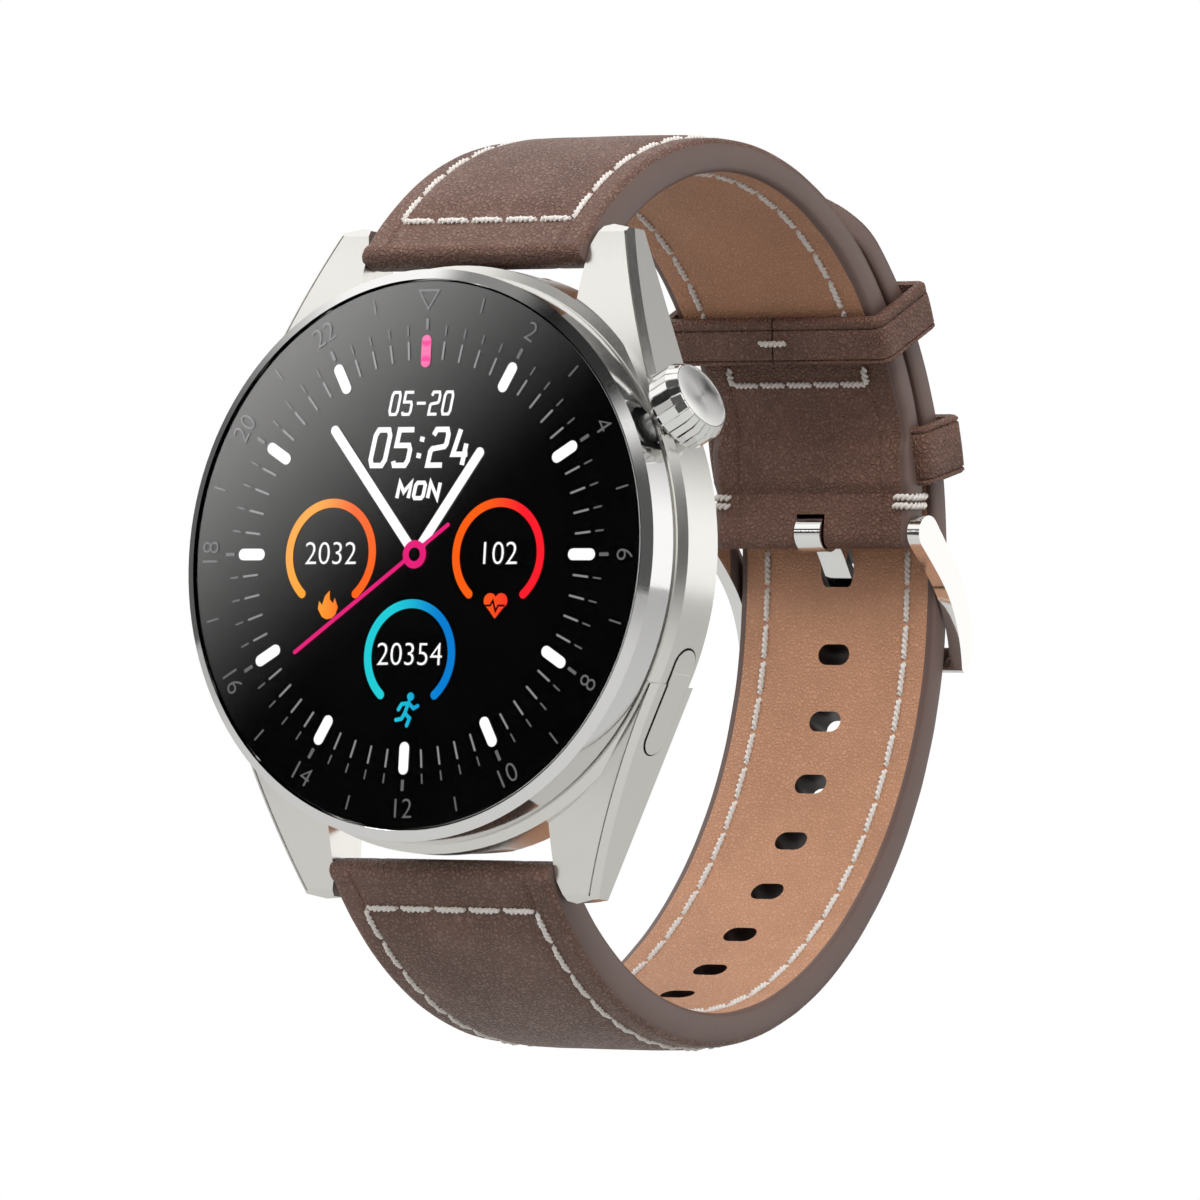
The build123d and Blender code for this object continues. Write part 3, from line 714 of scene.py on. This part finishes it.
THREAD_R = 0.185         # radius of one ply
PLY_SPREAD = 0.15        # how far each ply lies from the thread's middle
TWIST = 0.95             # length of one full turn of the plies
STITCH_GAP, STITCH_RISE, STITCH_DIP = 0.1, 0.12, 0.34
STITCH_SAMPLES = 11


def thread(path, normals):
    """Rings of two twisted plies along a path in the row frame; normals point away from the leather."""
    lengths = [0.0]
    for a, b in zip(path, path[1:]):
        lengths.append(lengths[-1] + (b - a).length / MM)
    strands = []
    for ply in (0, pi):
        rings = []
        for k, centre in enumerate(path):
            ahead = path[min(k + 1, len(path) - 1)] - path[max(k - 1, 0)]
            ahead.normalize()
            side = ahead.cross(normals[k]).normalized()
            up = side.cross(ahead)
            turn = ply + 2 * pi * lengths[k] / TWIST
            middle = centre + (side * cos(turn) + up * sin(turn)) * PLY_SPREAD * MM
            ends = 0.45 if k in (0, len(path) - 1) else 1.0
            ring = []
            for j in range(6):
                a = radians(60 * j)
                ring.append(middle + (side * cos(a) + up * sin(a)) * THREAD_R * ends * MM)
            rings.append(ring)
        strands.append(rings)
    return strands


class Stitching:
    """Collects stitches and makes one piece of them."""

    def __init__(self, name, body="head_and_strap"):
        self.name, self.body = name, body
        self.points, self.faces = [], []

    def add(self, path, normals):
        for rings in thread(path, normals):
            start = len(self.points)
            self.points += flat(rings)
            self.faces += [tuple(start + v for v in face) for face in skin(rings)]

    def add_run(self, where, first, last, pitch):
        """Stitches along where(t), t in mm from first to last; where gives (point, normal)."""
        count = max(1, round((last - first) / pitch))
        pitch = (last - first) / count
        for k in range(count):
            path, normals = [], []
            for j in range(STITCH_SAMPLES):
                u = j / (STITCH_SAMPLES - 1)
                point, normal = where(first + pitch * k + STITCH_GAP / 2 + (pitch - STITCH_GAP) * u)
                lift = STITCH_RISE - STITCH_DIP * (2 * u - 1) ** 6
                path.append(point + normal * lift * MM)
                normals.append(normal)
            self.add(path, normals)

    def finish(self):
        solid(self.name, self.points, self.faces, ["thread"], self.body, sharp=60)


def curve_frame(curve, share, height):
    """(depth, z) at a height on a strap, and the outward direction there."""
    depth, z = curve_point(curve, share, height)
    depth1, z1 = curve_point(curve, share, height + 1)
    return depth, z, Vector((0, depth1 - depth, z1 - z))


def on_strap(curve, side, x_of, height_of, face):
    """Function of distance in mm that walks a row along a strap. face is +1 outside, -1 inside."""
    length = curve_length(curve)

    def where(distance):
        share = distance / length
        depth, z, out = curve_frame(curve, share, height_of(share))
        return at(side * x_of(share), depth, z), out * face

    return where


def across(curve, share, height_of, face):
    """Function of x in mm that walks a row across a strap."""
    def where(x):
        depth, z, out = curve_frame(curve, share, height_of(share))
        return at(x, depth, z), out * face

    return where


PITCH = 3.2


def stitch_straps():
    for word, curve, inner, outer, inside, outside in (
            ("short", SHORT_CURVE, SHORT_INNER, SHORT_OUTER, (0.07, 0.757), 0.98),
            ("long", LONG_CURVE, LONG_INNER, LONG_OUTER, (0.06, 0.93), 0.93)):
        length = curve_length(curve)
        seams = Stitching(f"{word}_strap_stitching")

        def inner_height(share, table=inner):
            return table_at(table, share) + 0.1

        def outer_height(share, table=outer):
            return table_at(table, share) - 0.1

        def outer_x(share, line=curve):
            return strap_half(line, share) - OUTER_ROW_IN

        def inner_x(share, line=curve):
            return INNER_ROW * min(1, strap_half(line, share) / STRAP_HALF * 1.1)

        for side in (1, -1):
            seams.add_run(on_strap(curve, side, inner_x, inner_height, -1), inside[0] * length,
                          inside[1] * length, PITCH)
            seams.add_run(on_strap(curve, side, outer_x, outer_height, 1), CROSS_ROW,
                          outside * length, PITCH)
        reach = outer_x(CROSS_ROW / length)
        seams.add_run(across(curve, CROSS_ROW / length, outer_height, 1), -reach, reach, PITCH)
        seams.finish()


def stitch_flap():
    seams = Stitching("flap_stitching")

    def face_height(share):
        return table_at(SHORT_INNER, share) + 0.06

    row, side_row = 0.82, 0.0242      # place of the cross row and length of the side rows, as shares
    half_row, row_pitch, side_pitch = 6.9, 2.76, 1.6
    length = curve_length(SHORT_CURVE)
    seams.add_run(across(SHORT_CURVE, row, face_height, -1), -half_row, half_row, row_pitch)
    for side in (1, -1):
        walk = on_strap(SHORT_CURVE, side, lambda share: half_row, face_height, -1)
        seams.add_run(walk, (row - side_row) * length, row * length, side_pitch)
    for share in (0.966, 0.977):
        for side in (1, -1):
            path, normals = [], []
            half = strap_half(SHORT_CURVE, share)
            low = table_at(SHORT_INNER, share)
            for x, h, normal in ((half - 1.5, low + 0.2, (0, -1)), (half - 1.4, low, (0, -1)),
                                 (half - 0.9, low - 0.12, (0, -1)), (half - 0.4, low - 0.1, (0.3, -1)),
                                 (half + 0.02, low + 0.2, (1, -0.7)), (half + 0.16, low + 0.8, (1, 0)),
                                 (half + 0.18, low + 1.4, (1, 0)), (half + 0.16, low + 2.0, (1, 0)),
                                 (half - 0.1, low + 2.3, (1, 0))):
                depth, z = curve_point(SHORT_CURVE, share, h)
                depth1, z1 = curve_point(SHORT_CURVE, share, h + 1)
                path.append(at(side * x, depth, z))
                out = Vector((side * normal[0], (depth1 - depth) * normal[1], (z1 - z) * normal[1]))
                normals.append(out.normalized())
            seams.add(*fine_path(path, normals, 3))
    seams.finish()


def fine_path(path, normals, parts):
    """More points along a path, evenly between its own."""
    points, outs = [], []
    for k in range(len(path) - 1):
        for j in range(parts):
            u = j / parts
            points.append(path[k].lerp(path[k + 1], u))
            outs.append(normals[k].lerp(normals[k + 1], u).normalized())
    return points + [path[-1]], outs + [normals[-1]]


# ---- keepers

KEEPER_HALF = 11.35
KEEPER_WALL = 0.92
KEEPER_CORNER = 1.0
# (depth, z) of a keeper's middle, outward angle, width, reach inward and outward of the middle
FIXED_KEEPER = ((59.43, 14.46), 18.05, 5.1, 3.0, 3.1)
FREE_KEEPER = ((52.7, 24.5), 30.0, 4.3, 4.0, 4.4)
SEAM_HALF = 0.08         # half the gap of the butted seam


def keeper_path(inward, outward):
    """(x, height, normal x, normal h) round the loop, from the seam on the wrist side and back to it."""
    half, corner = KEEPER_HALF, KEEPER_CORNER
    path = [(x, -inward, 0, -1) for x in (SEAM_HALF, 1.6, 4.0, 7.0, 9.2)]
    for cx, ch, start in ((half - corner, corner - inward, -90), (half - corner, outward - corner, 0)):
        for k in range(7):
            a = radians(start + 15 * k)
            path.append((cx + corner * cos(a), ch + corner * sin(a), cos(a), sin(a)))
    path += [(x, outward, 0, 1) for x in (8.0, 5.0, 2.0)]
    return path + [(-x, h, -nx, nh) for x, h, nx, nh in reversed(path)]


def keeper_place(keeper, x, height, along):
    (depth, z), angle = keeper[:2]
    a = radians(angle)
    return at(x, depth + height * cos(a) - along * sin(a),
              z + height * sin(a) + along * cos(a))


def make_keeper(name, node, keeper, body, crease_at):
    """Leather loop with creased borders, butted at a slanting seam."""
    wide, inward, outward = keeper[2:]
    top = [(0.0, 0.55), (0.02, 0.2), (0.06, 0.02), (0.5 * crease_at[0], 0), (crease_at[0] - 0.025, 0.02),
           (crease_at[0], 0.18), (crease_at[0] + 0.025, 0.0), (0.35, -0.03), (0.5, -0.04), (0.65, -0.03),
           (crease_at[1] - 0.025, 0.0), (crease_at[1], 0.18), (crease_at[1] + 0.025, 0.02),
           (0.5 + 0.5 * crease_at[1], 0), (0.94, 0.02), (0.98, 0.2), (1.0, 0.55)]
    section = top + [(0.97, KEEPER_WALL), (0.5, KEEPER_WALL), (0.03, KEEPER_WALL)]
    rings = []
    for x, h, nx, nh in keeper_path(inward, outward):
        ring = []
        for share, sunk in section:
            slant = 1.1 * (share - 0.5) * max(0, 1 - abs(x) / 4) if nh == -1 else 0
            rough = 0.03 * noise.noise(Vector((x * 0.5, share * 2, h)))
            ring.append(keeper_place(keeper, x - nx * sunk + slant, h - nh * sunk + rough,
                                     wide * (share - 0.5)))
        rings.append(ring)
    made = piece(name, rings, ["flap_leather"], body, sharp=55)
    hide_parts(node)


def make_keepers():
    make_keeper("fixed_keeper_leather", "fixed_keeper", FIXED_KEEPER, "head_and_strap", (0.11, 0.89))
    make_keeper("free_keeper_leather", "free_keeper", FREE_KEEPER, "loose_keeper", (0.12, 0.77))
    seam = Stitching("free_keeper_stitch", "loose_keeper")
    inward = FREE_KEEPER[3]
    normal = (keeper_place(FREE_KEEPER, 0, -inward - 1, 0) - keeper_place(FREE_KEEPER, 0, -inward, 0)) / MM
    seam.add_run(lambda x: (keeper_place(FREE_KEEPER, x, -inward, 0), normal), -1.55, 1.55, 3.1)
    seam.finish()


# ---- crown

CROWN_TEETH, FLUTE_DEPTH = 27, 0.26


def crown_space():
    """Matrix whose Z runs out along the crown's axis, in millimetres from the watch's axis."""
    a = radians(CROWN_ANGLE)
    out = Vector((cos(a), 0, sin(a)))
    along = Vector((-sin(a), 0, cos(a)))
    turn = Matrix((along, out.cross(along), out)).transposed().to_4x4()
    return Matrix.Translation(at(0, CROWN_Y, 0)) @ turn @ Matrix.Scale(MM, 4)


def make_crown():
    """Fluted crown with a bevelled front, and its turned face as a piece of its own."""
    space = crown_space()
    # each tooth: a flat facet, then a narrow groove, as (share of the tooth, depth)
    tooth = [(0.0, 0.0), (0.78, 0.0), (0.84, 1.0), (0.94, 1.0)]
    # (radius, height along the axis, share of the flutes' depth)
    profile = [(2.2, 25.75, 0), (2.2, 24.6, 0), (3.1, 24.55, 0.3), (3.4, 24.9, 1), (3.4, 26.62, 1),
               (2.96, 27.42, 0.5), (2.88, 27.5, 0), (2.8, 27.5, 0), (2.8, 27.4, 0)]
    rings = []
    for radius, height, depth in profile:
        ring = []
        for k in range(CROWN_TEETH):
            for share, groove in tooth:
                r = radius - FLUTE_DEPTH * depth * groove
                a = 2 * pi * (k + share) / CROWN_TEETH
                ring.append(space @ Vector((r * cos(a), r * sin(a), height)))
        rings.append(ring)
    made = piece("crown_knob", rings, ["polished_steel"], "crown", sharp=10)
    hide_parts("crown_cap")
    face_rings = []
    turns = [radians(5 * k) for k in range(72)]
    for radius, height in ((2.79, 27.42), (2.72, 27.46), (0.9, 27.46), (0.05, 27.46)):
        face_rings.append([Vector((radius * cos(a), radius * sin(a), height)) * MM for a in turns])
    mesh = mesh_of("crown_face", flat(face_rings), skin(face_rings), ["sunburst_steel"])
    shade(mesh, 30)
    face = linked("crown_face", mesh)
    face.matrix_world = space @ Matrix.Scale(1 / MM, 4)
    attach(face, "crown")


# ---- dial

FONT_HEIGHT = 0.69       # height of the built-in digits as a share of their font size
THINNER = 0.03           # how far their outline is drawn in


class Print:
    """Flat lit shapes of one colour on the display, in (x, z) millimetres, made into one thin piece."""

    def __init__(self, name, finish, depth=0.14):
        self.name, self.finish, self.depth = name, finish, depth
        self.points, self.faces = [], []

    def polygon(self, outline):
        start = len(self.points)
        self.points += outline
        self.faces.append(tuple(range(start, len(self.points))))

    def disc(self, x, z, radius, count=24):
        around = [2 * pi * k / count for k in range(count)]
        self.polygon([(x + radius * cos(a), z + radius * sin(a)) for a in around])

    def line(self, points, width, closed=False, round_ends=False):
        """Band of even width along points, mitred at its corners."""
        vectors = [Vector(p) for p in points]
        count = len(vectors)
        left, right = [], []
        for k, p in enumerate(vectors):
            before = vectors[k - 1] if (k or closed) else None
            after = vectors[(k + 1) % count] if (k < count - 1 or closed) else None
            d0 = (p - before).normalized() if before is not None else (after - p).normalized()
            d1 = (after - p).normalized() if after is not None else d0
            normal0, normal1 = Vector((-d0.y, d0.x)), Vector((-d1.y, d1.x))
            mitre = (normal0 + normal1).normalized()
            reach = width / 2 / max(0.4, mitre.dot(normal1))
            left.append(p + mitre * reach)
            right.append(p - mitre * reach)
        start = len(self.points)
        self.points += [tuple(p) for pair in zip(left, right) for p in pair]
        for k in range(count if closed else count - 1):
            a, b = start + 2 * k, start + 2 * ((k + 1) % count)
            self.faces.append((a, b, b + 1, a + 1))
        if round_ends:
            for p in (points[0], points[-1]):
                self.disc(p[0], p[1], width / 2)

    def ray(self, angle, r0, r1, width, round_ends=False):
        a = radians(angle)
        self.line([(r0 * sin(a), r0 * cos(a)), (r1 * sin(a), r1 * cos(a))], width,
                  round_ends=round_ends)

    def arc(self, x, z, radius, start, end, width):
        count = 48
        turns = [radians(start + (end - start) * k / count) for k in range(count + 1)]
        points = [(x + radius * cos(a), z + radius * sin(a)) for a in turns]
        self.line(points, width, round_ends=True)

    def words(self, text, x, z, height, width, stroke, gap, slant):
        """Text centred on (x, z) from the stroke font below."""
        pens = [GLYPHS[c] for c in text]
        total = sum(pen[0] * width for pen in pens) + gap * (len(pens) - 1)
        left = -total / 2
        for wide, strokes in pens:
            for closed, points in strokes:
                placed = [(x + (left + px * width + slant * (pz - 0.5) * height), z + (pz - 0.5) * height)
                          for px, pz in points]
                self.line(placed, stroke, closed)
            left += wide * width + gap

    def rounded_words(self, text, x, z, height, turn=0.0):
        """Digits of the plain built-in font, centred on (x, z) and turned by an angle in degrees."""
        curve = bpy.data.curves.new("words", "FONT")
        curve.body, curve.size = text, height / FONT_HEIGHT
        curve.align_x, curve.align_y, curve.resolution_u, curve.offset = "CENTER", "CENTER", 4, -THINNER
        holder = linked("words", curve)
        bpy.context.view_layer.update()
        mesh = bpy.data.meshes.new_from_object(holder.evaluated_get(bpy.context.evaluated_depsgraph_get()))
        start = len(self.points)
        c, s = cos(radians(turn)), sin(radians(turn))
        self.points += [(x + v.co.x * c - v.co.y * s, z + v.co.x * s + v.co.y * c) for v in mesh.vertices]
        self.faces += [tuple(start + k for k in face.vertices) for face in mesh.polygons]
        bpy.data.objects.remove(holder)
        bpy.data.meshes.remove(mesh)

    def finish_piece(self):
        points = [at(x, self.depth, z) for x, z in self.points]
        made = linked(self.name, mesh_of(self.name, points, self.faces, [self.finish]))
        thick = made.modifiers.new("thick", "SOLIDIFY")
        thick.thickness, thick.offset = 0.02 * MM, 0
        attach(made, "head_and_strap")


def rounded(points, cut_back):
    """Closed outline with its corners cut back, so that squared digits look moulded."""
    out = []
    count = len(points)
    for k in range(count):
        p, before, after = Vector(points[k]), Vector(points[k - 1]), Vector(points[(k + 1) % count])
        out.append(tuple(p + (before - p).normalized() * cut_back))
        out.append(tuple(p + (after - p).normalized() * cut_back))
    return out


# Stroke font in a unit cell, with only the signs that the dial uses: width, then strokes as (closed, points)
ROUND = (1, [(True, rounded([(0, 0), (1, 0), (1, 1), (0, 1)], 0.16))])
GLYPHS = {
    "0": ROUND,
    "2": (1, [(False, [(0, 0.84), (0.14, 1), (0.86, 1), (1, 0.86), (1, 0.6), (0.9, 0.52), (0.1, 0.46),
                       (0, 0.38), (0, 0), (1, 0)])]),
    "4": (1, [(False, [(0.2, 1), (0, 0.3), (1, 0.3)]), (False, [(0.78, 0.6), (0.78, 0)])]),
    "5": (1, [(False, [(1, 1), (0, 1), (0, 0.56), (0.86, 0.56), (1, 0.44), (1, 0.14), (0.86, 0), (0.12, 0),
                       (0, 0.12)])]),
    ":": (0.25, [(False, [(0.1, 0.2), (0.1, 0.34)]), (False, [(0.1, 0.66), (0.1, 0.8)])]),
    "-": (1.1, [(False, [(0.0, 0.5), (1.1, 0.5)])]),
    "M": (1.2, [(False, [(0, 0), (0, 1), (0.6, 0.4), (1.2, 1), (1.2, 0)])]),
    "O": ROUND,
    "N": (1, [(False, [(0, 0), (0, 1), (1, 0), (1, 1)])]),
}
# The three round readouts: ring piece, finish, digits and middle
READOUTS = [("dial_energy", "ring_flame", "2032", -8.5, 0.0), ("dial_pulse", "ring_heart", "102", 8.3, 0.0),
            ("dial_steps", "ring_steps", "20354", 0.0, -8.2)]
HOUR_MARK = (15.7, 17.4, 0.95)      # radii of a long mark's ends, and its width
HOUR_NUMBER_R = 20.7


def make_dial():
    hands, marks = Print("dial_hands", "dial_white", 0.09), Print("dial_marks", "dial_white")
    light, dim = Print("dial_scale", "dial_light"), Print("dial_hours", "dial_dim")
    for hour in range(12):
        angle = 30 * hour
        if hour:
            marks.ray(angle, *HOUR_MARK, round_ends=True)
        dim.ray(angle, 18.3, 19.2, 0.28)
        for k in range(1, 5):
            light.ray(angle + 6 * k, 15.9, 17.4, 0.17)
            dim.ray(angle + 6 * k, 17.9, 18.7, 0.13)
        dim.ray(angle + 15, 20.3, 21.5, 0.14)
    for hour in range(2, 24, 2):
        angle = 15 * hour
        upright = hour in (2, 4, 6, 18, 20, 22)
        a = radians(angle)
        dim.rounded_words(str(hour), HOUR_NUMBER_R * sin(a), HOUR_NUMBER_R * cos(a), 1.6,
                          turn=-angle if upright else 180 - angle)
    dim.line([(-1.0, 21.5), (1.0, 21.5), (0.0, 20.0)], 0.14, closed=True)
    top = Print("dial_top_mark", "dial_pink")
    top.ray(0, *HOUR_MARK, round_ends=True)

    for tip in ((-8.7, 10.1), (5.95, 8.25)):
        hands.line([(0, 0), tip], 0.85, round_ends=True)
    marks.words("05-20", -0.2, 12.3, 1.8, 0.8, 0.24, 0.5, slant=0.18)
    marks.words("05:24", 0.0, 8.7, 2.9, 1.45, 0.44, 0.86, slant=0.2)
    marks.words("MON", 0.0, 5.2, 1.25, 0.95, 0.34, 0.5, slant=0.2)
    rings = []
    for name, finish, digits, x, z in READOUTS:
        marks.rounded_words(digits, x, z, 1.85)
        rings.append(Print(name, finish))
        rings[-1].arc(x, z, 4.2, -50, 230, 0.72)
    flame, heart, walker = rings
    second = Print("dial_second_hand", "dial_magenta", 0.05)
    second.line([(3.2, 2.4), (-11.55, -8.0)], 0.34, round_ends=True)
    second.line([(0.85 * cos(radians(15 * k)), 0.85 * sin(radians(15 * k)))
                 for k in range(24)], 0.62, closed=True)
    tongues = ((-0.55, -0.95), (-1.0, -0.3), (-0.9, 0.35), (-0.6, 0.0), (-0.35, 0.75), (0.1, 1.2),
               (0.15, 0.5), (0.5, 0.15), (0.65, 0.6), (1.0, -0.15), (0.8, -0.75), (0.45, -1.05),
               (-0.1, -1.15))
    flame.polygon([(-8.5 + x, -4.15 + z) for x, z in tongues])
    for side in (1, -1):
        heart.disc(8.3 + 0.55 * side, -3.75, 0.62)
    heart.polygon([(7.16, -3.95), (9.44, -3.95), (8.3, -5.2)])
    walker.disc(0.35, -11.55, 0.34)
    for limb in (((0.2, -12.0), (-0.15, -12.9)), ((-0.15, -12.9), (0.35, -13.3), (0.1, -13.9)),
                 ((-0.15, -12.9), (-0.45, -13.35), (-1.0, -13.45)),
                 ((0.2, -12.1), (0.7, -12.5), (1.1, -12.3)),
                 ((0.15, -12.1), (-0.5, -12.15), (-0.8, -12.6))):
        walker.line(limb, 0.32, round_ends=True)
    for group in (hands, marks, light, dim, top, second, flame, heart, walker):
        group.finish_piece()
    pulse = Print("dial_pulse_line", "display_black", 0.045)
    pulse.disc(0, 0, 0.56)
    pulse.line([(7.3, -4.15), (7.85, -4.15), (8.1, -3.75), (8.4, -4.6), (8.65, -4.15), (9.3, -4.15)], 0.16)
    pulse.finish_piece()
    backing = Print("display_face", "display_black", 0.22)
    backing.disc(0, 0, GLASS_R - 0.15, 120)
    backing.finish_piece()


# ---- the whole scene

bpy.context.scene.view_settings.view_transform = "Standard"
make_camera()
make_world()
make_lights()
make_floor()
make_materials()
dress_cad_nodes()
make_long_strap()
make_short_strap()
stitch_straps()
stitch_flap()
make_keepers()
make_crown()
make_dial()
